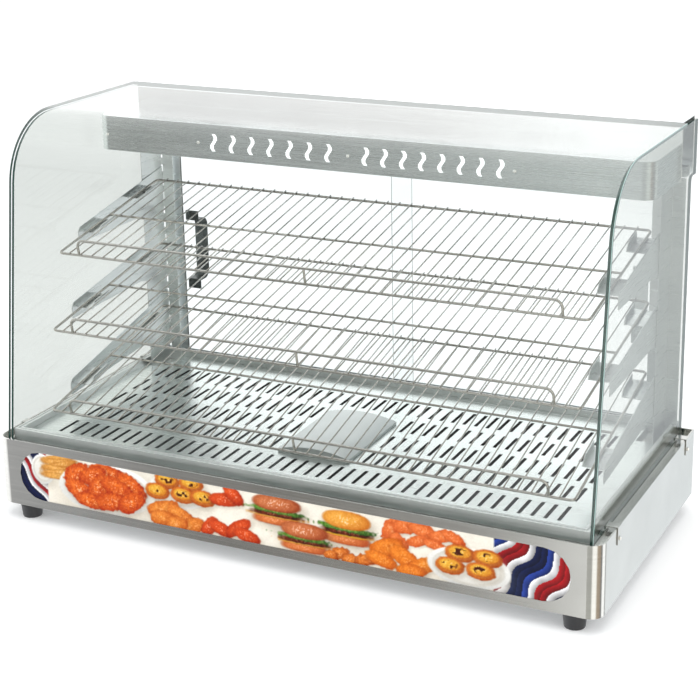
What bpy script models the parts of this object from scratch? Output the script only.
"""Countertop hot food display case: a steel plinth with heaters, a curved glass front, three wire shelves and
two sliding rear doors.  Metres, +Z up, +X to the customer's right, the front faces -Y.  The origin is the
centre of the whole case at the height of the surface that its feet stand on."""

import math

import bmesh
import bpy
import numpy as np
from mathutils import Matrix

# ---- driving dimensions --------------------------------------------------------------------------
WIDTH = 1.200                     # plinth, side to side
DEPTH = 0.560                     # plinth, front to back
PLINTH_HEIGHT = 0.131
FOOT_HEIGHT = 0.031
GLASS_HEIGHT = 0.600              # top glass above the plinth
GAP = 0.0003                      # between pieces that touch
SHEET = 0.0015                    # steel sheet
THIN_SHEET = 0.0010               # pan, cover and heat tray
PAST = 0.010                      # a cutter reaches this far past the faces that it cuts
THROUGH = 0.040                   # length of the cutters that go through a wall
CORNER_RADIUS = 0.026             # upright front corners of the plinth

# ---- glass ---------------------------------------------------------------------------------------
GLASS = 0.006
GLASS_INSET = 0.019               # front glass ends, in from the plinth's sides
GLASS_FRONT = 0.013               # glass foot, in from the plinth's front
GLASS_RAKE = math.radians(7.0)
SHOULDER_RADIUS = 0.135
ARC_STEPS = 10
EAR_DROP = 0.108                  # height of the side glass's ear that covers the top beam's end
EAR_RADIUS = 0.010
EDGE_INSET = 0.013                # side glass's rear edge, in from the plinth's rear

# ---- plinth --------------------------------------------------------------------------------------
RIM = 0.003
GUTTER_DEPTH = 0.008
HATCH_SIDE = 0.065                # hatch over the heaters, in from the plinth's sides
HATCH_FRONT = 0.050
HATCH_REAR = 0.110
CURB_WIDTH = 0.012
CURB_HEIGHT = 0.0217
GROOVE_WIDTH = 0.003
GROOVE_DEPTH = 0.002
WINDOW_MARGIN = 0.051             # slot ends, in from the plinth's sides
WINDOW_HEIGHT = 0.097
WINDOW_LAP = 0.005
LENS = 0.003
VENT_COUNT = 12
VENT_SIDE = 0.150                 # outermost vents, in from the plinth's sides
VENT_ROW = 0.180                  # rows of vents, in from the front and the rear
VENT_WIDTH = 0.006
VENT_LENGTH = 0.060
RAIL_CLEARANCE = 0.003            # curb ends, in front of the pillars
CLIP_FRONT = 0.090                # clips, in from the plinth's front and rear
CLIP_REAR = 0.052
CLIP_WIDTH = 0.018
CLIP_LIP = 0.005                  # clip's inner lip below the rim
CLIP_TAB = 0.030                  # clip's outer tab below the rim
CLIP_SCREW_DROP = 0.020
SCREW_RADIUS = 0.0040
SCREW_HEAD = 0.0012
FOOT_INSET = 0.052
FOOT_INSET_Y = 0.027
FOOT_TOP_RADIUS = 0.0215
FOOT_FLOOR_RADIUS = 0.0185

# ---- floor and humidity pan ----------------------------------------------------------------------
FLOOR_LIFT = 0.008                # floor plate above the deck
SLOT_PITCH = 0.0239
SLOT_WIDTH = 0.007
SLOT_LENGTH = 0.060
SLOT_ROW_PITCH = 0.084
SLOT_FRONT = 0.069                # first row, from the plinth's front
SLOT_SIDE = 0.090                 # last column at least this far from the plinth's side
SLOT_REAR = 0.085
SLOT_MARGIN = 0.004               # plain sheet between the slots and the pan's lip
PILLAR_CLEARANCE = 0.004          # floor plate's notches round the pillars
PAN_LENGTH = 0.190
PAN_WIDTH = 0.130
PAN_FRONT = 0.156
PAN_DEPTH = 0.040
PAN_LIP = 0.008
COVER_RISE = 0.014
COVER_SIDE = 0.004                # upright edge of the cover below its arch

# ---- shelves -------------------------------------------------------------------------------------
SHELF_SIDE = 0.072                # side wires, in from the plinth's sides
SHELF_REAR = 0.074                # rear wire, in from the plinth's rear
SHELF_FRONTS = (0.078, 0.098, 0.134)
SHELF_TILTS = (math.radians(13.0), math.radians(10.9), math.radians(10.8))
LOWEST_SHELF = 0.128              # rear edge of the lowest shelf above the plinth
TOP_HEADROOM = 0.092              # top shelf's rear edge below the canopy
WIRE_PITCH = 0.0250
WIRE = 0.0026
FRAME_WIRE = 0.0050
MESH_HEIGHT = 0.0040
RAIL_RISE = 0.031
RAIL_INSET = 0.048

# ---- pillars and arms ----------------------------------------------------------------------------
PILLAR_INSET = 0.052              # side leg, in from the plinth's side
PILLAR_LEG = 0.076
PILLAR_STRIP = 0.028
PILLAR_SLOT = 0.015
PILLAR_SLOT_WIDTH = 0.004
PILLAR_SLOT_PITCH = 0.030
PILLAR_SLOT_TOP = 0.040           # first slot below the pillar's top
ARM_SHEET = 0.0020
ARM_SETBACK = 0.094               # arm tip behind the shelf's front wire
ARM_UPSTAND = 0.009
ARM_CHAMFER = 0.006
ARM_TIP = 0.022
ARM_FLARE = 0.027                 # the web deepens over this length in front of the pillar
ARM_MIDDLE = 0.060
ARM_ROOT = 0.085
LEDGE = 0.042
LEDGE_LENGTH = 0.060
LEDGE_SETBACK = 0.008             # front ledge behind the arm's tip
TAB_RISE = 0.011

# ---- top -----------------------------------------------------------------------------------------
BEAM_HEIGHT = 0.109
BEAM_FRONT = 0.060                # top beam's front face, in from the plinth's rear
BEAM_OVERHANG = 0.018
BEAM_LEDGE = 0.014
GASKET = 0.0030
CANOPY_FRONT = 0.215              # sign face, in from the plinth's rear
CANOPY_HEIGHT = 0.068
CANOPY_SIDE = 0.032
CANOPY_RADIUS = 0.024
FASCIA = 0.0012
DIFFUSER = 0.002
CANOPY_LAMP_SETBACK = 0.045
CANOPY_LAMP_DROP = 0.026
MARK_MIDDLE = 0.033               # wave marks above the fascia's lower edge
MARK_HEIGHT = 0.034
MARK_STROKE = 0.008
MARK_SWAY = 0.0045
MARK_GROUPS = ((-0.317, 7, 0.041), (0.269, 8, 0.038))  # middle as a share of the half width, count, pitch

# ---- doors ---------------------------------------------------------------------------------------
TRACK_WIDTH = 0.0194
TRACK_HEIGHT = 0.0217
TRACK_GROOVE = 0.0064
TRACK_GROOVE_DEPTH = 0.009
UPPER_GROOVE_DEPTH = 0.016
DOOR_GLASS = 0.004
DOOR_SPACING = 0.0090
DOOR_LAP = 0.020                  # each door reaches this far past the middle
DOOR_SIDE = 0.060                 # door's outer edge, in from the plinth's side
STILE = 0.030
STILE_WALL = 0.0008
HANDLE_SIDE = 0.110               # handle's middle, in from the plinth's side
HANDLE_WIDTH = 0.030
HANDLE_REACH = 0.038
HANDLE_PITCH = 0.152
HANDLE_HEIGHT = 0.237             # handle's middle above the plinth
HANDLE_STRAP = 0.0030
HANDLE_BEND = 0.018
HANDLE_FOOT = 0.018
PULL_DEPTH = 0.0030
PULL_LIP = 0.0020

# ---- lamps, heaters and controls -----------------------------------------------------------------
TUBE_RADIUS = 0.008
LAMP_INSET = 0.060                # lamp's end, in from the end of the opening that it lights
LAMP_SETBACK = 0.032              # lamp behind the plinth's front
SOCKET_LENGTH = 0.014
SOCKET_HEIGHT = 0.022
STRIP_HEIGHT = 0.018
STRIP_THICKNESS = 0.004
HEATER_RADIUS = 0.0045
HEATER_BEND = 0.035
HEATER_INSET = 0.040              # heater tube, in from the tray's walls
TRAY_DEPTH = 0.055
TRAY_LAP = 0.006                  # tray past the hatch's edge
CONTROL_X = 0.340                 # thermostat, from the middle
CONTROL_PITCH = 0.070
KNOB_RADIUS = 0.019
KNOB_LENGTH = 0.016
SWITCH_WIDTH = 0.020
SWITCH_HEIGHT = 0.028
PLATE_WIDTH = 0.300
PLATE_HEIGHT = 0.080
STEM_HOLE_RADIUS = 0.0056
SHAFT_RADIUS = 0.0030
SHAFT_CLEARANCE = 0.0003
KNOB_END_RADIUS = 0.0175
POINTER_WIDTH = 0.0016
POINTER_DEPTH = 0.0012
THERMOSTAT_SIZE = 0.040
THERMOSTAT_DEPTH = 0.028
SWITCH_DEPTH = 0.022              # switch body behind the wall's outer face
SWITCH_WALL = 0.0020
BEZEL = 0.0018
ROCKER_DEPTH = 0.0060
ROCKER_PROUD = 0.0050
INDICATOR_RADIUS = 0.0070
INDICATOR_END_RADIUS = 0.0060
INDICATOR_RISE = 0.0040
STEM_RADIUS = 0.0050
STEM_LENGTH = 0.024
INLET_WIDTH = 0.030
INLET_HEIGHT = 0.024
INLET_DEPTH = 0.024
INLET_WALL = 0.0025
INLET_EAR = 0.009
PIN_PITCH = 0.007
PIN_SIZE = 0.0020
BLOCK_LENGTH = 0.060
BLOCK_WIDTH = 0.020
BLOCK_HEIGHT = 0.018

# ---- places worked out from those ----------------------------------------------------------------
PILLAR_REAR = RIM + TRACK_WIDTH + 2 * GAP
DOOR_OUTER = DEPTH - PILLAR_REAR + GAP + TRACK_WIDTH / 2 + DOOR_SPACING / 2
CASE_DEPTH = DOOR_OUTER + DOOR_GLASS / 2 + HANDLE_REACH
FRONT = -CASE_DEPTH / 2
REAR = FRONT + DEPTH
PLINTH_BASE = FOOT_HEIGHT
PLINTH_TOP = PLINTH_BASE + PLINTH_HEIGHT
DECK = PLINTH_TOP - GUTTER_DEPTH
TOP = PLINTH_TOP + GLASS_HEIGHT
GLASS_HALF = WIDTH / 2 - GLASS_INSET
SIDE_GLASS_OUT = GLASS_HALF - 0.002
SIDE_GLASS_IN = SIDE_GLASS_OUT - GLASS
INNER_HALF = SIDE_GLASS_IN - 2 * GAP
CURB_FRONT = FRONT + GLASS_FRONT + GLASS + 0.0030
FLOOR_TOP = DECK + FLOOR_LIFT + SHEET + GAP
BEAM_Y = REAR - BEAM_FRONT
BEAM_BASE = TOP - BEAM_HEIGHT
CANOPY_BASE = BEAM_BASE
CANOPY_TOP = CANOPY_BASE + CANOPY_HEIGHT
CANOPY_Y = REAR - CANOPY_FRONT
CANOPY_HALF = WIDTH / 2 - CANOPY_SIDE
PILLAR_X = WIDTH / 2 - PILLAR_INSET
PILLAR_Y = REAR - PILLAR_REAR
ARM_X = PILLAR_X - SHEET / 2 - GAP - ARM_SHEET / 2
TRACK_Y = PILLAR_Y + GAP + TRACK_WIDTH / 2
DOOR_Y = {"left": TRACK_Y + DOOR_SPACING / 2, "right": TRACK_Y - DOOR_SPACING / 2}
DOOR_BASE = DECK + GAP + TRACK_HEIGHT - TRACK_GROOVE_DEPTH + GAP
DOOR_TOP = BEAM_BASE + UPPER_GROOVE_DEPTH - 0.004
SIGN = {"left": -1, "right": 1}
LEVELS = ("lowest", "middle", "top")

# ---- materials: colour, roughness, metallic, transmission ----------------------------------------
MATERIALS = {
    "polished_steel": ((0.80, 0.80, 0.79), 0.18, 1.0, 0.0),
    "brushed_steel": ((0.72, 0.72, 0.70), 0.32, 1.0, 0.0),
    "galvanised_steel": ((0.60, 0.61, 0.62), 0.45, 1.0, 0.0),
    "chromed_wire": ((0.62, 0.60, 0.56), 0.22, 1.0, 0.0),
    "tempered_glass": ((0.86, 0.94, 0.92), 0.02, 0.0, 1.0),
    "printed_acrylic": ((0.90, 0.55, 0.30), 0.25, 0.0, 0.0),
    "opal_acrylic": ((0.95, 0.95, 0.93), 0.40, 0.0, 0.0),
    "lamp_glass": ((0.97, 0.97, 0.95), 0.30, 0.0, 0.0),
    "dark_handle_metal": ((0.045, 0.060, 0.060), 0.40, 0.6, 0.0),
    "heater_sheath": ((0.16, 0.15, 0.14), 0.50, 1.0, 0.0),
    "black_rubber": ((0.030, 0.030, 0.032), 0.80, 0.0, 0.0),
    "black_plastic": ((0.025, 0.025, 0.027), 0.45, 0.0, 0.0),
    "red_plastic": ((0.70, 0.05, 0.04), 0.35, 0.0, 0.0),
    "green_plastic": ((0.06, 0.45, 0.12), 0.35, 0.0, 0.0),
    "white_ceramic": ((0.86, 0.85, 0.80), 0.60, 0.0, 0.0),
}


# ---- small tools ---------------------------------------------------------------------------------
def clear_scene():
    for obj in list(bpy.data.objects):
        bpy.data.objects.remove(obj, do_unlink=True)


def material_for(name, kind):
    """A Principled material of the object's own, with the looks of its kind."""
    colour, roughness, metallic, transmission = MATERIALS[kind]
    material = bpy.data.materials.new(name + "_" + kind)
    material.use_nodes = True
    shader = material.node_tree.nodes["Principled BSDF"]
    shader.inputs["Base Color"].default_value = (*colour, 1.0)
    shader.inputs["Roughness"].default_value = roughness
    shader.inputs["Metallic"].default_value = metallic
    shader.inputs["Transmission Weight"].default_value = transmission
    material.diffuse_color = (*colour, 1.0)
    return material


def finish(name, bm, kind, smooth_angle=None):
    """Turns a bmesh into a named object with its material; round pieces are shaded smooth."""
    bmesh.ops.recalc_face_normals(bm, faces=bm.faces)
    mesh = bpy.data.meshes.new(name)
    bm.to_mesh(mesh)
    bm.free()
    obj = bpy.data.objects.new(name, mesh)
    bpy.context.scene.collection.objects.link(obj)
    if kind is not None:
        mesh.materials.append(material_for(name, kind))
    if smooth_angle is not None:
        mesh.shade_smooth()
        mesh.set_sharp_from_angle(angle=math.radians(smooth_angle))
    return obj


def add_box(bm, low, high):
    """One closed box between two opposite corners."""
    size = [b - a for a, b in zip(low, high)]
    centre = [(a + b) / 2 for a, b in zip(low, high)]
    made = bmesh.ops.create_cube(bm, size=1.0)
    bmesh.ops.scale(bm, vec=size, verts=made["verts"])
    bmesh.ops.translate(bm, vec=centre, verts=made["verts"])
    return made["verts"]


def box_object(name, low, high, kind):
    bm = bmesh.new()
    add_box(bm, low, high)
    return finish(name, bm, kind)


def add_prism(bm, outline, axis, start, end):
    """An outline pushed from start to end along X, Y or Z.  It lies in the other two axes, in their order."""
    places = {"x": lambda u, v, w: (w, u, v), "y": lambda u, v, w: (u, w, v), "z": lambda u, v, w: (u, v, w)}
    place = places[axis]
    verts = [bm.verts.new(place(u, v, start)) for u, v in outline]
    face = bm.faces.new(verts)
    made = bmesh.ops.extrude_face_region(bm, geom=[face])
    moved = [item for item in made["geom"] if isinstance(item, bmesh.types.BMVert)]
    shift = place(0.0, 0.0, end - start)
    bmesh.ops.translate(bm, vec=shift, verts=moved)
    return verts + moved


def prism_object(name, outline, axis, start, end, kind, smooth_angle=None):
    bm = bmesh.new()
    add_prism(bm, outline, axis, start, end)
    return finish(name, bm, kind, smooth_angle)


def arc(centre, radius, first, last, steps):
    """Points of an arc from one angle to another, in degrees."""
    angles = np.radians(np.linspace(first, last, steps + 1))
    return [(centre[0] + radius * math.cos(a), centre[1] + radius * math.sin(a)) for a in angles]


def stadium(half_length, half_height, centre_height, steps=8):
    """A slot's outline with half-round ends."""
    reach = half_length - half_height
    right = arc((reach, centre_height), half_height, -90, 90, steps)
    left = arc((-reach, centre_height), half_height, 90, 270, steps)
    return right + left


def cutter(bm, name):
    obj = finish(name, bm, None)
    obj.hide_render = True
    obj.display_type = "WIRE"
    return obj


def boolean(obj, other, operation):
    modifier = obj.modifiers.new(operation.lower() + "_" + other.name, "BOOLEAN")
    modifier.operation = operation
    modifier.solver = "EXACT"
    modifier.object = other


def cut(obj, fill, name):
    """Cuts away what fill(bm) draws."""
    bm = bmesh.new()
    fill(bm)
    boolean(obj, cutter(bm, name), "DIFFERENCE")


def weld_on(obj, fill, name):
    """Joins on what fill(bm) draws."""
    bm = bmesh.new()
    fill(bm)
    boolean(obj, cutter(bm, name), "UNION")


def add_cylinder(bm, centre, radius, length, axis, sides=20, radius_2=None):
    """A cylinder or cone frustum about X, Y or Z; radius_2 is at its far end."""
    made = bmesh.ops.create_cone(
        bm,
        cap_ends=True,
        segments=sides,
        radius1=radius,
        radius2=radius if radius_2 is None else radius_2,
        depth=length,
    )
    quarter = math.pi / 2
    turns = {"x": Matrix.Rotation(quarter, 3, "Y"), "y": Matrix.Rotation(-quarter, 3, "X"), "z": Matrix()}
    bmesh.ops.rotate(bm, verts=made["verts"], matrix=turns[axis].to_3x3())
    bmesh.ops.translate(bm, vec=centre, verts=made["verts"])


def cylinder_object(name, centre, radius, length, axis, kind, sides=20, radius_2=None):
    bm = bmesh.new()
    add_cylinder(bm, centre, radius, length, axis, sides, radius_2)
    return finish(name, bm, kind, 40)


def about(obj, origin, empty_name):
    """Hangs the piece on an empty that stands on its joint's axis."""
    empty = bpy.data.objects.get(empty_name)
    if empty is None:
        empty = bpy.data.objects.new(empty_name, None)
        empty.location = origin
        empty.empty_display_size = 0.05
        bpy.context.scene.collection.objects.link(empty)
    obj.parent = empty
    obj.matrix_parent_inverse = Matrix.Translation([-c for c in origin])


# ---- plinth --------------------------------------------------------------------------------------
def plinth_outline(inset, radius):
    """The plinth in plan: square at the rear, round at the two front corners."""
    side = WIDTH / 2 - inset
    front = FRONT + inset
    left = arc((-side + radius, front + radius), radius, 180, 270, 6)
    right = arc((side - radius, front + radius), radius, 270, 360, 6)
    return [(side, REAR - inset), (-side, REAR - inset)] + left + right


def control_places():
    """Middles of the controls on the rear wall, as name and x."""
    names = ("thermostat", "power_switch", "light_switch", "power_indicator")
    return {name: CONTROL_X - step * CONTROL_PITCH for step, name in enumerate(names)}


def make_base_shell():
    middle = PLINTH_BASE + PLINTH_HEIGHT / 2
    shell = prism_object(
        "base_shell", plinth_outline(0.0, CORNER_RADIUS), "z", PLINTH_BASE, PLINTH_TOP, "polished_steel", 30
    )
    inner = plinth_outline(SHEET, CORNER_RADIUS - SHEET)
    rim = plinth_outline(RIM, CORNER_RADIUS - RIM)
    cut(shell, lambda bm: add_prism(bm, inner, "z", PLINTH_BASE - PAST, DECK - SHEET), "plinth_hollow")
    cut(shell, lambda bm: add_prism(bm, rim, "z", DECK, PLINTH_TOP + PAST), "plinth_gutter")
    hatch_low = (-WIDTH / 2 + HATCH_SIDE, FRONT + HATCH_FRONT, DECK - PAST)
    hatch_high = (WIDTH / 2 - HATCH_SIDE, REAR - HATCH_REAR, DECK + PAST)
    cut(shell, lambda bm: add_box(bm, hatch_low, hatch_high), "plinth_hatch")
    window = stadium(WIDTH / 2 - WINDOW_MARGIN, WINDOW_HEIGHT / 2, middle)
    cut(shell, lambda bm: add_prism(bm, window, "y", FRONT - PAST, FRONT + PAST), "plinth_window")
    cut(shell, add_control_holes, "plinth_control_holes")


def add_control_holes(bm):
    """Holes in the rear wall for the thermostat's shaft, the two switches, the lamp and the power inlet."""
    middle = PLINTH_BASE + PLINTH_HEIGHT / 2
    places = control_places()
    for name in ("thermostat", "power_indicator"):
        add_cylinder(bm, (places[name], REAR, middle), STEM_HOLE_RADIUS, THROUGH, "y", 12)
    for name in ("power_switch", "light_switch"):
        add_opening(bm, places[name], middle, SWITCH_WIDTH + 2 * GAP, SWITCH_HEIGHT + 2 * GAP)
    add_opening(bm, -CONTROL_X, middle, INLET_WIDTH + 2 * GAP, INLET_HEIGHT + 2 * GAP)


def add_opening(bm, x, z, width, height):
    low = (x - width / 2, REAR - THROUGH / 2, z - height / 2)
    add_box(bm, low, (x + width / 2, REAR + THROUGH / 2, z + height / 2))


def make_bottom_pan():
    """The sheet that closes the plinth from below, with two rows of air slots under the heaters."""
    outline = plinth_outline(SHEET + GAP, CORNER_RADIUS - SHEET - GAP)
    pan = prism_object("bottom_pan", outline, "z", PLINTH_BASE, PLINTH_BASE + SHEET, "galvanised_steel")
    half = WIDTH / 2 - VENT_SIDE

    def vents(bm):
        for x in np.linspace(-half, half, VENT_COUNT):
            for y in (FRONT + VENT_ROW, REAR - VENT_ROW):
                low = (x - VENT_WIDTH / 2, y - VENT_LENGTH / 2, PLINTH_BASE - PAST)
                add_box(bm, low, (x + VENT_WIDTH / 2, y + VENT_LENGTH / 2, PLINTH_BASE + PAST))

    cut(pan, vents, "bottom_pan_vents")


def make_glass_rail():
    """The raised curb that the front and side glass lean on, with a groove along its top."""
    top = DECK + GAP + CURB_HEIGHT
    outer = [(-INNER_HALF, CURB_FRONT), (INNER_HALF, CURB_FRONT)]
    end = PILLAR_Y - RAIL_CLEARANCE

    def ring(inset_out, inset_in):
        near = [(x - math.copysign(inset_out, x), y + inset_out) for x, y in outer]
        far = [(x - math.copysign(inset_in, x), y + inset_in) for x, y in outer]
        left_end = [(far[0][0], end), (near[0][0], end)]
        right_end = [(near[1][0], end), (far[1][0], end)]
        return [near[0], near[1]] + right_end + [far[1], far[0]] + left_end

    rail = prism_object("glass_rail", ring(0.0, CURB_WIDTH), "z", DECK + GAP, top, "polished_steel")
    first = (CURB_WIDTH - GROOVE_WIDTH) / 2
    groove = ring(first, first + GROOVE_WIDTH)
    groove = [(x, y if y < end else end + PAST) for x, y in groove]
    cut(rail, lambda bm: add_prism(bm, groove, "z", top - GROOVE_DEPTH, top + PAST), "glass_rail_groove")


def make_window_and_lamp():
    """The printed lens behind the front slot, and the lamp that lights it."""
    middle = PLINTH_BASE + PLINTH_HEIGHT / 2
    half = WIDTH / 2 - WINDOW_MARGIN
    outline = stadium(half + WINDOW_LAP, WINDOW_HEIGHT / 2 + WINDOW_LAP, middle)
    start = FRONT + SHEET + GAP
    prism_object("print_panel", outline, "y", start, start + LENS, "printed_acrylic")
    lamp_half = half - LAMP_INSET
    lamp_y = FRONT + LAMP_SETBACK
    cylinder_object("panel_lamp", (0, lamp_y, middle), TUBE_RADIUS, 2 * lamp_half, "x", "lamp_glass", 16)
    make_lamp_bracket("panel_lamp_bracket", lamp_half, lamp_y, middle)


def make_lamp_bracket(name, lamp_half, lamp_y, lamp_z):
    """A strip behind a lamp tube, with a socket at each end of the tube."""
    near = lamp_y + TUBE_RADIUS + STRIP_THICKNESS
    far = near + STRIP_THICKNESS
    reach = lamp_half + 1.5 * SOCKET_LENGTH
    low = (-reach, near, lamp_z - STRIP_HEIGHT / 2)
    bracket = box_object(name, low, (reach, far, lamp_z + STRIP_HEIGHT / 2), "galvanised_steel")

    def sockets(bm):
        for x in (-lamp_half - SOCKET_LENGTH, lamp_half + GAP):
            corner = (x, lamp_y - SOCKET_HEIGHT / 2, lamp_z - SOCKET_HEIGHT / 2)
            end = (x + SOCKET_LENGTH - GAP, near + STRIP_THICKNESS / 2, lamp_z + SOCKET_HEIGHT / 2)
            add_box(bm, corner, end)

    weld_on(bracket, sockets, name + "_sockets")


def make_feet():
    for side in ("left", "right"):
        for row, y in (("front", FRONT + FOOT_INSET_Y), ("rear", REAR - FOOT_INSET_Y)):
            centre = (SIGN[side] * (WIDTH / 2 - FOOT_INSET), y, (FOOT_HEIGHT - GAP) / 2)
            cylinder_object(
                f"foot_{row}_{side}",
                centre,
                FOOT_FLOOR_RADIUS,
                FOOT_HEIGHT - GAP,
                "z",
                "black_rubber",
                20,
                FOOT_TOP_RADIUS,
            )


# ---- glass ---------------------------------------------------------------------------------------
def glass_profile(inset):
    """The front glass in side view, as (y, z) points set in from its outer face: a raked straight run, then a
    shoulder arc that ends level with the top."""
    centre_z = TOP - SHOULDER_RADIUS
    radius = SHOULDER_RADIUS - inset
    foot_y = FRONT + GLASS_FRONT
    run = centre_z - PLINTH_TOP + SHOULDER_RADIUS * math.sin(GLASS_RAKE)
    centre_y = foot_y + run * math.tan(GLASS_RAKE) + SHOULDER_RADIUS * math.cos(GLASS_RAKE)
    shoulder = arc((centre_y, centre_z), radius, 180 - math.degrees(GLASS_RAKE), 90, ARC_STEPS)
    first_y, first_z = shoulder[0]
    foot_z = DECK + GAP
    foot = (first_y - (first_z - foot_z) * math.tan(GLASS_RAKE), foot_z)
    return [foot] + shoulder


def make_front_glass():
    """One bent pane: raked front, round shoulder and flat top as far as the seal at the top beam."""
    end = BEAM_Y - GASKET
    outer = glass_profile(0.0) + [(end, TOP)]
    inner = glass_profile(GLASS) + [(end, TOP - GLASS)]
    prism_object("front_glass", outer + inner[::-1], "x", -GLASS_HALF, GLASS_HALF, "tempered_glass", 30)
    low = (-INNER_HALF, end + GAP, TOP - GLASS)
    high = (INNER_HALF, BEAM_Y - GAP, TOP)
    box_object("top_gasket", low, high, "black_rubber")


def make_side_glasses():
    """Two flat panes whose front edge follows the bent pane, with an ear that covers the top beam's end."""
    front = glass_profile(GLASS + GAP)
    top = TOP - GLASS - GAP
    ear_y = REAR + BEAM_OVERHANG
    edge_y = REAR - EDGE_INSET
    ear_z = TOP - EAR_DROP
    notch = arc((edge_y + EAR_RADIUS, ear_z - EAR_RADIUS), EAR_RADIUS, 90, 180, 4)
    outline = front + [(ear_y, top), (ear_y, ear_z)] + notch + [(edge_y, DECK + GAP)]
    for side in ("left", "right"):
        span = sorted((SIGN[side] * SIDE_GLASS_IN, SIGN[side] * SIDE_GLASS_OUT))
        prism_object("side_glass_" + side, outline, "x", span[0], span[1], "tempered_glass", 30)


def make_glass_clips():
    """Folded clips that hook over the plinth's rim and hold the side glass, with a screw in each tab."""
    for row, y in (("front", FRONT + CLIP_FRONT), ("rear", REAR - CLIP_REAR)):
        for side in ("left", "right"):
            make_glass_clip(row, side, y)


def make_glass_clip(row, side, y):
    inner = SIDE_GLASS_OUT + GAP
    outer = WIDTH / 2 + GAP
    seat = PLINTH_TOP + GAP
    outline = [
        (inner, PLINTH_TOP - CLIP_LIP),
        (inner + SHEET, PLINTH_TOP - CLIP_LIP),
        (inner + SHEET, seat),
        (outer, seat),
        (outer, PLINTH_TOP - CLIP_TAB),
        (outer + SHEET, PLINTH_TOP - CLIP_TAB),
        (outer + SHEET, seat + SHEET),
        (inner, seat + SHEET),
    ]
    outline = [(SIGN[side] * x, z) for x, z in outline]
    name = f"glass_clip_{row}_{side}"
    clip = prism_object(name, outline, "y", y - CLIP_WIDTH / 2, y + CLIP_WIDTH / 2, "polished_steel")
    head = (SIGN[side] * (outer + SHEET), y, PLINTH_TOP - CLIP_SCREW_DROP)
    weld_on(clip, lambda bm: add_cylinder(bm, head, SCREW_RADIUS, 2 * SCREW_HEAD, "x", 12), name + "_screw")


# ---- floor, pan and heaters ----------------------------------------------------------------------
def slot_columns():
    count = int((WIDTH - 2 * SLOT_SIDE) / SLOT_PITCH) + 1
    return (np.arange(count) - (count - 1) / 2) * SLOT_PITCH


def slot_rows():
    first = FRONT + SLOT_FRONT
    count = int((REAR - SLOT_REAR - first - SLOT_LENGTH) / SLOT_ROW_PITCH) + 1
    return first + np.arange(count) * SLOT_ROW_PITCH


def pan_hole():
    """The floor plate's hole for the pan, as low and high (x, y)."""
    half = PAN_WIDTH / 2 + 2 * GAP
    front = FRONT + PAN_FRONT
    return (-half, front), (half, front + PAN_LENGTH + 4 * GAP)


def make_floor_plate():
    """The slotted floor, on a skirt that stands on the deck, notched round the two pillars."""
    half = INNER_HALF - CURB_WIDTH - 2 * GAP
    front = CURB_FRONT + CURB_WIDTH + 2 * GAP
    rear = PILLAR_Y - 2 * GAP
    notch_x = PILLAR_X - PILLAR_STRIP - PILLAR_CLEARANCE
    notch_y = PILLAR_Y - PILLAR_LEG - PILLAR_CLEARANCE
    outline = [
        (-half, front),
        (half, front),
        (half, notch_y),
        (notch_x, notch_y),
        (notch_x, rear),
        (-notch_x, rear),
        (-notch_x, notch_y),
        (-half, notch_y),
    ]
    floor = prism_object("floor_plate", outline, "z", DECK + GAP, FLOOR_TOP, "brushed_steel")
    inner = [(x - math.copysign(SHEET, x), min(max(y, front + SHEET), rear - SHEET)) for x, y in outline]
    inner = [(x, y - SHEET if abs(y - notch_y) < 1e-6 else y) for x, y in inner]
    cut(floor, lambda bm: add_prism(bm, inner, "z", DECK - PAST, FLOOR_TOP - SHEET), "floor_hollow")
    low, high = pan_hole()
    cut(floor, lambda bm: add_box(bm, (*low, DECK), (*high, FLOOR_TOP + PAST)), "floor_pan_hole")
    keep = PAN_LIP + SLOT_MARGIN

    def slots(bm):
        for y in slot_rows():
            for x in slot_columns():
                over_x = low[0] - keep < x + SLOT_WIDTH / 2 and x - SLOT_WIDTH / 2 < high[0] + keep
                over_y = low[1] - keep < y + SLOT_LENGTH and y < high[1] + keep
                if not (over_x and over_y):
                    corner = (x - SLOT_WIDTH / 2, y, FLOOR_TOP - 2 * SHEET)
                    add_box(bm, corner, (x + SLOT_WIDTH / 2, y + SLOT_LENGTH, FLOOR_TOP + 2 * SHEET))

    cut(floor, slots, "floor_slots")
    about(floor, (0.0, (FRONT + REAR) / 2, FLOOR_TOP), "floor_lift_axis")


def make_pan():
    """The water pan that hangs in the floor by its lip, and its domed cover."""
    low, high = pan_hole()
    low = (low[0] + 2 * GAP, low[1] + 2 * GAP)
    high = (high[0] - 2 * GAP, high[1] - 2 * GAP)
    middle = ((low[0] + high[0]) / 2, (low[1] + high[1]) / 2)
    lip_top = FLOOR_TOP + GAP + THIN_SHEET
    base = lip_top - PAN_DEPTH
    pan = box_object("water_pan", (*low, base), (*high, lip_top), "brushed_steel")
    lip_low = (low[0] - PAN_LIP, low[1] - PAN_LIP, FLOOR_TOP + GAP)
    lip_high = (high[0] + PAN_LIP, high[1] + PAN_LIP, lip_top)
    weld_on(pan, lambda bm: add_box(bm, lip_low, lip_high), "water_pan_lip")
    wall = THIN_SHEET
    hollow_low = (low[0] + wall, low[1] + wall, base + wall)
    hollow_high = (high[0] - wall, high[1] - wall, lip_top + PAST)
    cut(pan, lambda bm: add_box(bm, hollow_low, hollow_high), "water_pan_hollow")
    about(pan, (*middle, lip_top), "pan_lift_axis")
    make_pan_cover(low, high, lip_top + GAP)


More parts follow.
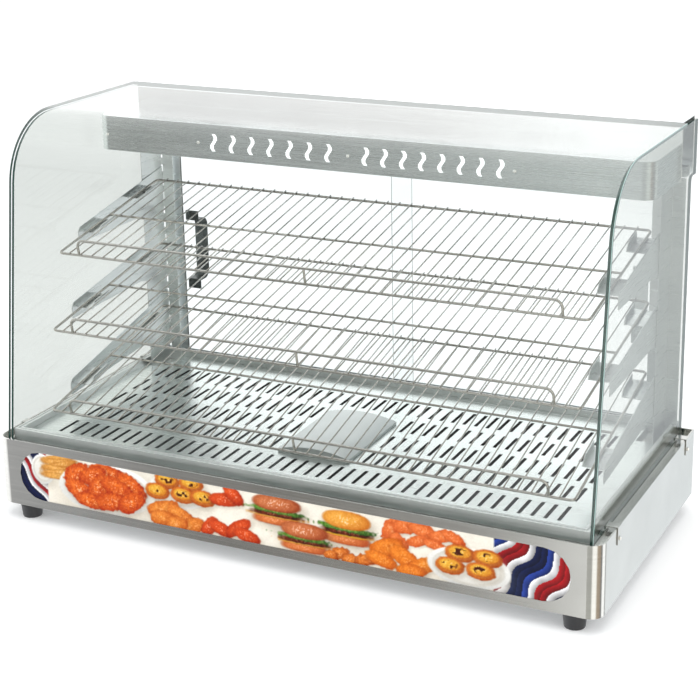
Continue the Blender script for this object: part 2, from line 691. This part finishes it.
def make_pan_cover(low, high, base):
    """A lid of sheet steel, open below, whose top is a flattened arch along its width."""
    half = (high[0] - low[0]) / 2 + PAN_LIP
    sagitta = COVER_RISE - COVER_SIDE
    radius = (half * half + sagitta * sagitta) / (2 * sagitta)
    spread = math.degrees(math.asin(half / radius))

    def arch(inset):
        top = arc((0.0, base + COVER_RISE - radius), radius - inset, 90 - spread, 90 + spread, 12)
        limit = half - inset
        return [(max(-limit, min(limit, x)), z) for x, z in top]

    outer = [(-half, base), (half, base)] + arch(0.0)
    span = (low[1] - PAN_LIP, high[1] + PAN_LIP)
    cover = prism_object("pan_cover", outer, "y", *span, "brushed_steel", 30)
    wall = THIN_SHEET
    inner = [(-half + wall, base - PAST), (half - wall, base - PAST)] + arch(wall)
    hollow = (span[0] + wall, span[1] - wall)
    cut(cover, lambda bm: add_prism(bm, inner, "y", *hollow), "pan_cover_hollow")
    middle = ((low[0] + high[0]) / 2, (low[1] + high[1]) / 2)
    about(cover, (*middle, base), "cover_lift_axis")


def make_heaters():
    """An open tray below the hatch and two U-shaped tubular heaters, one on each side of the pan."""
    side = WIDTH / 2 - HATCH_SIDE + TRAY_LAP
    front = FRONT + HATCH_FRONT + 2 * TRAY_LAP
    rear = REAR - HATCH_REAR + TRAY_LAP
    top = DECK - SHEET - GAP
    tray = box_object("heat_tray", (-side, front, top - TRAY_DEPTH), (side, rear, top), "galvanised_steel")
    wall = THIN_SHEET
    low = (-side + wall, front + wall, top - TRAY_DEPTH + wall)
    cut(tray, lambda bm: add_box(bm, low, (side - wall, rear - wall, top + PAST)), "heat_tray_hollow")
    inner = PAN_WIDTH / 2 + PAN_LIP + HEATER_INSET / 2
    outer = side - HEATER_INSET
    for name, sign in SIGN.items():
        make_heater(name, sign, inner, outer, front + HEATER_INSET, rear - HEATER_INSET, top - TRAY_DEPTH / 2)


def make_heater(name, sign, inner, outer, front, rear, height):
    """A tube that runs out along the front, turns and comes back along the rear."""
    bend = HEATER_BEND
    start = [(inner, front)]
    corner_1 = arc((outer - bend, front + bend), bend, -90, 0, 4)
    corner_2 = arc((outer - bend, rear - bend), bend, 0, 90, 4)
    path = start + corner_1 + corner_2 + [(inner, rear)]
    curve = bpy.data.curves.new("heater_" + name, "CURVE")
    curve.dimensions = "3D"
    curve.bevel_depth = HEATER_RADIUS
    curve.bevel_resolution = 2
    curve.use_fill_caps = True
    spline = curve.splines.new("POLY")
    spline.points.add(len(path) - 1)
    for point, (x, y) in zip(spline.points, path):
        point.co = (sign * x, y, height, 1.0)
    obj = bpy.data.objects.new("heater_" + name, curve)
    bpy.context.scene.collection.objects.link(obj)
    curve.materials.append(material_for("heater_" + name, "heater_sheath"))


# ---- pillars, arms and shelves -------------------------------------------------------------------
def make_pillars():
    """Rear corner posts: a leg that runs back, and a strip across its rear end that closes the gap to the
    side glass and carries a column of slots for the arms."""
    base = DECK + GAP
    top = BEAM_BASE - GAP
    outward = INNER_HALF
    half = SHEET / 2
    for side in ("left", "right"):
        outline = [
            (PILLAR_X - half, PILLAR_Y - PILLAR_LEG),
            (PILLAR_X + half, PILLAR_Y - PILLAR_LEG),
            (PILLAR_X + half, PILLAR_Y - SHEET),
            (outward, PILLAR_Y - SHEET),
            (outward, PILLAR_Y),
            (PILLAR_X - PILLAR_STRIP, PILLAR_Y),
            (PILLAR_X - PILLAR_STRIP, PILLAR_Y - SHEET),
            (PILLAR_X - half, PILLAR_Y - SHEET),
        ]
        outline = [(SIGN[side] * x, y) for x, y in outline]
        pillar = prism_object("pillar_" + side, outline, "z", base, top, "brushed_steel")
        count = int((top - base - PILLAR_SLOT_TOP) / PILLAR_SLOT_PITCH)
        x = SIGN[side] * ARM_X

        def slots(bm, x=x, count=count):
            for step in range(count):
                z = top - PILLAR_SLOT_TOP - step * PILLAR_SLOT_PITCH
                low = (x - PILLAR_SLOT_WIDTH / 2, PILLAR_Y - PAST, z - PILLAR_SLOT)
                add_box(bm, low, (x + PILLAR_SLOT_WIDTH / 2, PILLAR_Y + PAST, z))

        cut(pillar, slots, "pillar_slots_" + side)


def shelf_rear_heights():
    """Heights of the shelves' rear wires, evenly spaced between the lowest and the top one."""
    return np.linspace(PLINTH_TOP + LOWEST_SHELF, CANOPY_BASE - TOP_HEADROOM, len(LEVELS))


def shelf_height(level, y):
    """Height of a shelf's underside at y."""
    rear = REAR - SHELF_REAR
    return shelf_rear_heights()[level] - (rear - y) * math.tan(SHELF_TILTS[level])


def make_arms():
    for level in range(len(LEVELS)):
        for side in ("left", "right"):
            make_arm(level, side)


def make_arm(level, side):
    """A cantilever of bent sheet: a tapered web that stands above the shelf's edge, and a ledge with an
    upturned tab near each end that the shelf rests on.  A tab is notched where the shelf's cross wire meets
    it."""
    tip = FRONT + SHELF_FRONTS[level] + ARM_SETBACK
    root = PILLAR_Y - SHEET - GAP
    throat = PILLAR_Y - PILLAR_LEG

    def line(y, drop):
        return (y, shelf_height(level, y) + drop)

    web = [
        line(tip + ARM_CHAMFER, ARM_UPSTAND),
        line(tip, ARM_UPSTAND - ARM_CHAMFER),
        line(tip, -ARM_TIP),
        line(throat - ARM_FLARE, -ARM_MIDDLE),
        line(throat, (-ARM_MIDDLE - ARM_ROOT) / 2),
        line(root, -ARM_ROOT),
        line(root, ARM_UPSTAND),
    ]
    half = ARM_SHEET / 2
    x = SIGN[side] * ARM_X
    name = f"arm_{LEVELS[level]}_{side}"
    arm = prism_object(name, web, "x", x - half, x + half, "brushed_steel")
    inner = SIGN[side] * (ARM_X - LEDGE)
    across = sorted((x, inner))
    tab = sorted((inner, inner + SIGN[side] * ARM_SHEET))
    starts = {"front": tip + LEDGE_SETBACK, "rear": throat - LEDGE_LENGTH - ARM_SHEET}
    for place, start in starts.items():
        end = start + LEDGE_LENGTH
        plate = [line(start, -GAP), line(end, -GAP), line(end, -GAP - SHEET), line(start, -GAP - SHEET)]
        lip = [
            line(start, -GAP),
            line(start + TAB_RISE, TAB_RISE),
            line(end, TAB_RISE),
            line(end, -GAP - SHEET),
            line(start, -GAP - SHEET),
        ]
        weld_on(arm, lambda bm, o=plate, s=across: add_prism(bm, o, "x", *s), f"{name}_{place}_ledge")
        weld_on(arm, lambda bm, o=lip, s=tab: add_prism(bm, o, "x", *s), f"{name}_{place}_tab")
    wire = (REAR - SHELF_REAR + FRONT + SHELF_FRONTS[level]) / 2
    back = wire - FRAME_WIRE / 2 - MESH_HEIGHT * math.sin(SHELF_TILTS[level]) - GAP
    ahead = wire + FRAME_WIRE / 2 + GAP
    high = TAB_RISE + PAST
    notch = [line(back, 0.0), line(ahead, 0.0), line(ahead, high), line(back, high)]
    cut(arm, lambda bm: add_prism(bm, notch, "x", tab[0] - GAP, tab[1] + GAP), name + "_wire_notch")


def wire_columns(half):
    """Evenly spaced thin wires between the two side wires."""
    count = int((2 * half - WIRE_PITCH / 2) / WIRE_PITCH)
    return (np.arange(count) - (count - 1) / 2) * WIRE_PITCH


def make_shelves():
    for level in range(len(LEVELS)):
        make_shelf(level)


def make_shelf(level):
    """A sloping wire shelf: a frame wire, one cross wire, thin wires from front to back, and a guard rail."""
    half = WIDTH / 2 - SHELF_SIDE
    rear = REAR - SHELF_REAR
    front = FRONT + SHELF_FRONTS[level]
    depth = (rear - front) / math.cos(SHELF_TILTS[level])
    name = "shelf_" + LEVELS[level]
    shelf = box_object(name, (-half, -depth, 0.0), (half, 0.0, MESH_HEIGHT), "chromed_wire")
    columns = list(wire_columns(half - FRAME_WIRE))
    middle = -depth / 2
    rows = ((-depth + FRAME_WIRE, middle - FRAME_WIRE / 2), (middle + FRAME_WIRE / 2, -FRAME_WIRE))
    edges = [-half + FRAME_WIRE - WIRE / 2] + columns + [half - FRAME_WIRE + WIRE / 2]

    def cells(bm):
        for start, end in rows:
            for left, right in zip(edges, edges[1:]):
                low = (left + WIRE / 2, start, -MESH_HEIGHT)
                add_box(bm, low, (right - WIRE / 2, end, 2 * MESH_HEIGHT))

    cut(shelf, cells, name + "_cells")
    reach = half - RAIL_INSET
    for step, x in enumerate((-reach, -FRAME_WIRE / 2, reach - FRAME_WIRE)):
        low = (x, -depth, MESH_HEIGHT / 2)
        high = (x + FRAME_WIRE, -depth + FRAME_WIRE, RAIL_RISE + FRAME_WIRE / 2)
        weld_on(shelf, lambda bm, a=low, b=high: add_box(bm, a, b), f"{name}_post_{step}")
    low = (-reach, -depth, RAIL_RISE)
    high = (reach, -depth + FRAME_WIRE, RAIL_RISE + FRAME_WIRE)
    weld_on(shelf, lambda bm: add_box(bm, low, high), name + "_rail")
    height = shelf_rear_heights()[level] + GAP
    shelf.rotation_euler = (SHELF_TILTS[level], 0.0, 0.0)
    shelf.location = (0.0, rear, height)
    for modifier in shelf.modifiers:
        modifier.object.rotation_euler = shelf.rotation_euler
        modifier.object.location = shelf.location


# ---- top beam, canopy and sign -------------------------------------------------------------------
def make_top_beam():
    """A folded beam across the rear top, open below for the doors, with a ledge under the glass."""
    rear = REAR + BEAM_OVERHANG
    ledge = TOP - GLASS - GAP
    outline = [
        (BEAM_Y - BEAM_LEDGE, ledge - SHEET),
        (BEAM_Y, ledge - SHEET),
        (BEAM_Y, BEAM_BASE),
        (BEAM_Y + SHEET, BEAM_BASE),
        (BEAM_Y + SHEET, TOP - SHEET),
        (rear - SHEET, TOP - SHEET),
        (rear - SHEET, BEAM_BASE),
        (rear, BEAM_BASE),
        (rear, TOP),
        (BEAM_Y, TOP),
        (BEAM_Y, ledge),
        (BEAM_Y - BEAM_LEDGE, ledge),
    ]
    prism_object("top_beam", outline, "x", -INNER_HALF, INNER_HALF, "brushed_steel")


def make_canopy():
    """The lamp housing below the top glass: a lid with a lamp strip, and a bent fascia round it with the
    sign's cut-outs and an opal sheet behind them."""
    rear = BEAM_Y - GAP
    inset = FASCIA + GAP

    def plan(offset, radius):
        side = CANOPY_HALF - offset
        front = CANOPY_Y + offset
        left = arc((-side + radius, front + radius), radius, 180, 270, 6)
        right = arc((side - radius, front + radius), radius, 270, 360, 6)
        return [(side, rear), (-side, rear)] + left + right

    lid = plan(inset, CANOPY_RADIUS - inset)
    prism_object("canopy_lid", lid, "z", CANOPY_TOP - SHEET, CANOPY_TOP, "brushed_steel")
    outer = plan(0.0, CANOPY_RADIUS)
    fascia = prism_object("sign_fascia", outer, "z", CANOPY_BASE, CANOPY_TOP, "polished_steel", 30)
    hollow = [(x, y + PAST if y == rear else y) for x, y in plan(FASCIA, CANOPY_RADIUS - FASCIA)]
    cut(fascia, lambda bm: add_prism(bm, hollow, "z", CANOPY_BASE - PAST, CANOPY_TOP + PAST), "fascia_hollow")
    cut(fascia, add_sign_marks, "fascia_marks")
    back = CANOPY_Y + FASCIA + GAP
    low = (-CANOPY_HALF + LAMP_INSET, back, CANOPY_BASE + DIFFUSER)
    high = (CANOPY_HALF - LAMP_INSET, back + DIFFUSER, CANOPY_TOP - SHEET - GAP)
    box_object("sign_diffuser", low, high, "opal_acrylic")
    lamp_half = CANOPY_HALF - LAMP_INSET - SOCKET_LENGTH
    lamp_y = CANOPY_Y + CANOPY_LAMP_SETBACK
    lamp_z = CANOPY_TOP - CANOPY_LAMP_DROP
    cylinder_object("canopy_lamp", (0, lamp_y, lamp_z), TUBE_RADIUS, 2 * lamp_half, "x", "lamp_glass", 16)
    make_lamp_bracket("canopy_lamp_bracket", lamp_half, lamp_y, lamp_z)


def add_sign_marks(bm):
    """Two groups of plain wave marks, a generic sign for warmth, cut through the fascia."""
    middle = CANOPY_BASE + MARK_MIDDLE
    for share, count, pitch in MARK_GROUPS:
        for step in np.arange(count) - (count - 1) / 2:
            add_wave(bm, share * CANOPY_HALF + step * pitch, middle)


def add_wave(bm, x, middle):
    """One upright wave: a band whose middle line is one period of a sine."""
    heights = np.linspace(-MARK_HEIGHT / 2, MARK_HEIGHT / 2, 7)
    sway = MARK_SWAY * np.sin(heights / MARK_HEIGHT * math.tau)
    left = [(x + s - MARK_STROKE / 2, middle + h) for s, h in zip(sway, heights)]
    right = [(x + s + MARK_STROKE / 2, middle + h) for s, h in zip(sway, heights)]
    add_prism(bm, left + right[::-1], "y", CANOPY_Y - 4 * FASCIA, CANOPY_Y + 4 * FASCIA)


# ---- doors ---------------------------------------------------------------------------------------
def make_tracks():
    """Two-groove tracks: one on the deck, and a deeper one in the top beam with room to lift the doors in."""
    make_track("lower_track", DECK + GAP, TRACK_HEIGHT, TRACK_GROOVE_DEPTH)
    make_track("upper_track", BEAM_BASE + THIN_SHEET, UPPER_GROOVE_DEPTH + 2 * SHEET, -UPPER_GROOVE_DEPTH)


def make_track(name, base, height, depth):
    """A bar with two grooves, cut down from its top, or up from its base where depth is negative."""
    half = INNER_HALF
    low = (-half, TRACK_Y - TRACK_WIDTH / 2, base)
    track = box_object(name, low, (half, TRACK_Y + TRACK_WIDTH / 2, base + height), "brushed_steel")
    start, end = (base + height - depth, base + height + PAST) if depth > 0 else (base - PAST, base - depth)

    def grooves(bm):
        for y in DOOR_Y.values():
            corner = (-half - PAST, y - TRACK_GROOVE / 2, start)
            add_box(bm, corner, (half + PAST, y + TRACK_GROOVE / 2, end))

    cut(track, grooves, name + "_grooves")


def make_doors():
    for side in ("left", "right"):
        make_door(side)


def make_door(side):
    """A glass pane with a folded steel stile on its outer edge and a handle outside.  The left door is the
    outer one and carries a strap that stands off; the right door passes inside it and has a flat pull."""
    sign = SIGN[side]
    y = DOOR_Y[side]
    outer = WIDTH / 2 - DOOR_SIDE
    wall = STILE_WALL
    span = sorted((sign * (outer - wall - GAP), -sign * DOOR_LAP))
    low = (span[0], y - DOOR_GLASS / 2, DOOR_BASE)
    high = (span[1], y + DOOR_GLASS / 2, DOOR_TOP)
    glass = box_object("door_glass_" + side, low, high, "tempered_glass")
    axis = (sign * outer / 2, y, DOOR_BASE)
    about(glass, axis, "door_slide_axis_" + side)
    face = DOOR_GLASS / 2 + GAP
    outline = [
        (outer - STILE, face),
        (outer - STILE, face + wall),
        (outer, face + wall),
        (outer, -face - wall),
        (outer - STILE, -face - wall),
        (outer - STILE, -face),
        (outer - wall, -face),
        (outer - wall, face),
    ]
    outline = [(sign * x, y + v) for x, v in outline]
    ends = (DOOR_BASE + wall, DOOR_TOP - wall)
    stile = prism_object("door_stile_" + side, outline, "z", *ends, "brushed_steel")
    about(stile, axis, "door_slide_axis_" + side)
    make = make_strap_handle if side == "left" else make_flat_pull
    handle = make(side, y + face)
    about(handle, axis, "door_slide_axis_" + side)


def make_strap_handle(side, face):
    """A bent strap: a foot on the door at each end, round bends, and a grip that stands clear of the glass.
    Its outline in (y, z) is drawn for the upper half and mirrored about the handle's middle."""
    middle = PLINTH_TOP + HANDLE_HEIGHT
    shoulder = middle + HANDLE_PITCH / 2 - HANDLE_FOOT / 2
    grip = face + HANDLE_REACH - GAP
    bend = (grip - HANDLE_BEND, shoulder - HANDLE_BEND)
    outer = [(face + HANDLE_STRAP, shoulder + HANDLE_FOOT), (face + HANDLE_STRAP, shoulder)]
    outer += arc(bend, HANDLE_BEND, 90, 0, 5)
    inner = [(face, shoulder + HANDLE_FOOT), (face, shoulder - HANDLE_STRAP)]
    inner += arc(bend, HANDLE_BEND - HANDLE_STRAP, 90, 0, 5)
    lower_outer = [(y, 2 * middle - z) for y, z in outer]
    lower_inner = [(y, 2 * middle - z) for y, z in inner]
    outline = outer + lower_outer[::-1] + lower_inner + inner[::-1]
    x = SIGN[side] * (WIDTH / 2 - HANDLE_SIDE)
    span = (x - HANDLE_WIDTH / 2, x + HANDLE_WIDTH / 2)
    return prism_object("door_handle_" + side, outline, "x", *span, "dark_handle_metal", 30)


def make_flat_pull(side, face):
    """A thin plate with a raised lip along each upright edge, low enough to pass between the two panes."""
    middle = PLINTH_TOP + HANDLE_HEIGHT
    half_w = HANDLE_WIDTH / 2
    x = SIGN[side] * (WIDTH / 2 - HANDLE_SIDE)
    plate = PULL_DEPTH / 2
    outline = [
        (x - half_w, face),
        (x + half_w, face),
        (x + half_w, face + PULL_DEPTH),
        (x + half_w - PULL_LIP, face + PULL_DEPTH),
        (x + half_w - PULL_LIP, face + plate),
        (x - half_w + PULL_LIP, face + plate),
        (x - half_w + PULL_LIP, face + PULL_DEPTH),
        (x - half_w, face + PULL_DEPTH),
    ]
    ends = (middle - HANDLE_PITCH / 2, middle + HANDLE_PITCH / 2)
    return prism_object("door_handle_" + side, outline, "z", *ends, "brushed_steel")


# ---- controls ------------------------------------------------------------------------------------
def make_controls():
    """Rear wall: a plate with the thermostat's knob, two rocker switches and a lamp, and the power inlet."""
    middle = PLINTH_BASE + PLINTH_HEIGHT / 2
    places = control_places()
    centre = sum(places.values()) / len(places)
    face = REAR + GAP
    low = (centre - PLATE_WIDTH / 2, face, middle - PLATE_HEIGHT / 2)
    high = (centre + PLATE_WIDTH / 2, face + SHEET, middle + PLATE_HEIGHT / 2)
    plate = box_object("control_plate", low, high, "brushed_steel")
    cut(plate, add_control_holes, "control_plate_holes")
    front = face + SHEET + GAP
    make_thermostat(places["thermostat"], middle, front)
    for name in ("power_switch", "light_switch"):
        make_switch(name, places[name], middle, front)
    make_indicator(places["power_indicator"], middle, front)
    make_inlet(-CONTROL_X, middle)
    make_terminal_block(-CONTROL_X + 2 * INLET_WIDTH)


def make_terminal_block(x):
    """Three wiring wells in a ceramic block on the bottom pan."""
    base = PLINTH_BASE + SHEET + GAP
    rear = REAR - INLET_WIDTH
    pitch = BLOCK_LENGTH / 3
    low = (x, rear - BLOCK_WIDTH, base)
    block = box_object("terminal_block", low, (x + BLOCK_LENGTH, rear, base + BLOCK_HEIGHT), "white_ceramic")

    def wells(bm):
        for step in range(3):
            middle = x + (step + 0.5) * pitch
            well = (middle - pitch / 4, rear - 3 * BLOCK_WIDTH / 4, base + BLOCK_HEIGHT / 2)
            add_box(bm, well, (middle + pitch / 4, rear - BLOCK_WIDTH / 4, base + 2 * BLOCK_HEIGHT))

    cut(block, wells, "terminal_block_wells")


def make_thermostat(x, z, front):
    """The thermostat's ceramic body and shaft, and the knob on that shaft."""
    half = THERMOSTAT_SIZE / 2
    rear = REAR - SHEET - GAP
    low = (x - half, rear - THERMOSTAT_DEPTH, z - half)
    body = box_object("thermostat_body", low, (x + half, rear, z + half), "white_ceramic")
    middle = (x, front, z)
    weld_on(body, lambda bm: add_cylinder(bm, middle, SHAFT_RADIUS, KNOB_LENGTH, "y", 12), "thermostat_shaft")
    at = (x, front + KNOB_LENGTH / 2, z)
    knob = cylinder_object(
        "thermostat_knob", at, KNOB_RADIUS, KNOB_LENGTH, "y", "black_plastic", 24, KNOB_END_RADIUS
    )
    bore = SHAFT_RADIUS + SHAFT_CLEARANCE
    cut(knob, lambda bm: add_cylinder(bm, middle, bore, 1.25 * KNOB_LENGTH, "y", 12), "thermostat_knob_bore")
    end = front + KNOB_LENGTH
    groove = (x - POINTER_WIDTH / 2, end - POINTER_DEPTH, z + KNOB_RADIUS / 5)
    groove_end = (x + POINTER_WIDTH / 2, end + PAST, z + KNOB_RADIUS + PAST)
    cut(knob, lambda bm: add_box(bm, groove, groove_end), "thermostat_knob_pointer")
    about(knob, middle, "thermostat_turn_axis")


def make_switch(name, x, z, front):
    """A bezel with a hollow body behind the wall, and a rocker that tips about its middle."""
    half_w = SWITCH_WIDTH / 2
    half_h = SWITCH_HEIGHT / 2
    wall = SWITCH_WALL
    low = (x - half_w, REAR - SWITCH_DEPTH, z - half_h)
    body = box_object(name + "_body", low, (x + half_w, front + BEZEL / 2, z + half_h), "black_plastic")
    bezel_low = (x - half_w - BEZEL, front, z - half_h - BEZEL)
    bezel_high = (x + half_w + BEZEL, front + BEZEL, z + half_h + BEZEL)
    weld_on(body, lambda bm: add_box(bm, bezel_low, bezel_high), name + "_bezel")
    well_low = (x - half_w + wall, REAR - SWITCH_DEPTH / 2, z - half_h + wall)
    well_high = (x + half_w - wall, front + PAST, z + half_h - wall)
    cut(body, lambda bm: add_box(bm, well_low, well_high), name + "_well")
    make_rocker(name, x, z, front, half_h - 2 * wall)


def make_rocker(name, x, z, front, reach):
    """A wedge whose lower end stands proud.  Its two faces meet over the pivot."""
    outline = [
        (front - ROCKER_DEPTH, z - reach / 2),
        (front - ROCKER_DEPTH, z + reach / 2),
        (front - GAP, z + reach),
        (front + ROCKER_PROUD / 4, z + reach),
        (front + ROCKER_PROUD / 2, z),
        (front + ROCKER_PROUD, z - reach),
        (front - GAP, z - reach),
    ]
    half_w = SWITCH_WIDTH / 2 - SWITCH_WALL - 2 * GAP
    kind = "red_plastic" if name == "power_switch" else "green_plastic"
    rocker = prism_object(name + "_rocker", outline, "x", x - half_w, x + half_w, kind)
    about(rocker, (x, front - ROCKER_DEPTH / 3, z), name + "_axis")


def make_indicator(x, z, front):
    """A lamp's lens on a stem that goes through the wall."""
    at = (x, front + INDICATOR_RISE / 2, z)
    lens = cylinder_object(
        "power_indicator", at, INDICATOR_RADIUS, INDICATOR_RISE, "y", "red_plastic", 16, INDICATOR_END_RADIUS
    )
    stem = (x, front - STEM_LENGTH / 2 + INDICATOR_RISE / 2, z)
    length = STEM_LENGTH
    weld_on(lens, lambda bm: add_cylinder(bm, stem, STEM_RADIUS, length, "y", 16), "power_indicator_stem")


def make_inlet(x, z):
    """A three-pin power socket, set in the rear wall, with a flange outside."""
    half_w = INLET_WIDTH / 2
    half_h = INLET_HEIGHT / 2
    wall = INLET_WALL
    face = REAR + GAP
    low = (x - half_w, REAR - INLET_DEPTH, z - half_h)
    inlet = box_object("power_inlet", low, (x + half_w, face + wall / 2, z + half_h), "black_plastic")
    flange_low = (x - half_w - INLET_EAR, face, z - half_h - wall)
    flange_high = (x + half_w + INLET_EAR, face + wall, z + half_h + wall)
    weld_on(inlet, lambda bm: add_box(bm, flange_low, flange_high), "power_inlet_flange")
    well_low = (x - half_w + wall, REAR - 2 * INLET_DEPTH / 3, z - half_h + wall)
    well_high = (x + half_w - wall, REAR + PAST, z + half_h - wall)
    cut(inlet, lambda bm: add_box(bm, well_low, well_high), "power_inlet_well")
    for step in (-1, 0, 1):
        middle = (x + step * PIN_PITCH, z + (PIN_SIZE if step == 0 else 0.0))
        pin_low = (middle[0] - PIN_SIZE / 2, well_low[1] - wall / 2, middle[1] - PIN_SIZE)
        pin_high = (middle[0] + PIN_SIZE / 2, REAR - wall, middle[1] + PIN_SIZE)
        weld_on(inlet, lambda bm, a=pin_low, b=pin_high: add_box(bm, a, b), f"power_inlet_pin_{step + 1}")


def main():
    clear_scene()
    make_base_shell()
    make_bottom_pan()
    make_glass_rail()
    make_window_and_lamp()
    make_feet()
    make_front_glass()
    make_side_glasses()
    make_glass_clips()
    make_floor_plate()
    make_pan()
    make_heaters()
    make_pillars()
    make_arms()
    make_shelves()
    make_top_beam()
    make_canopy()
    make_tracks()
    make_doors()
    make_controls()


main()
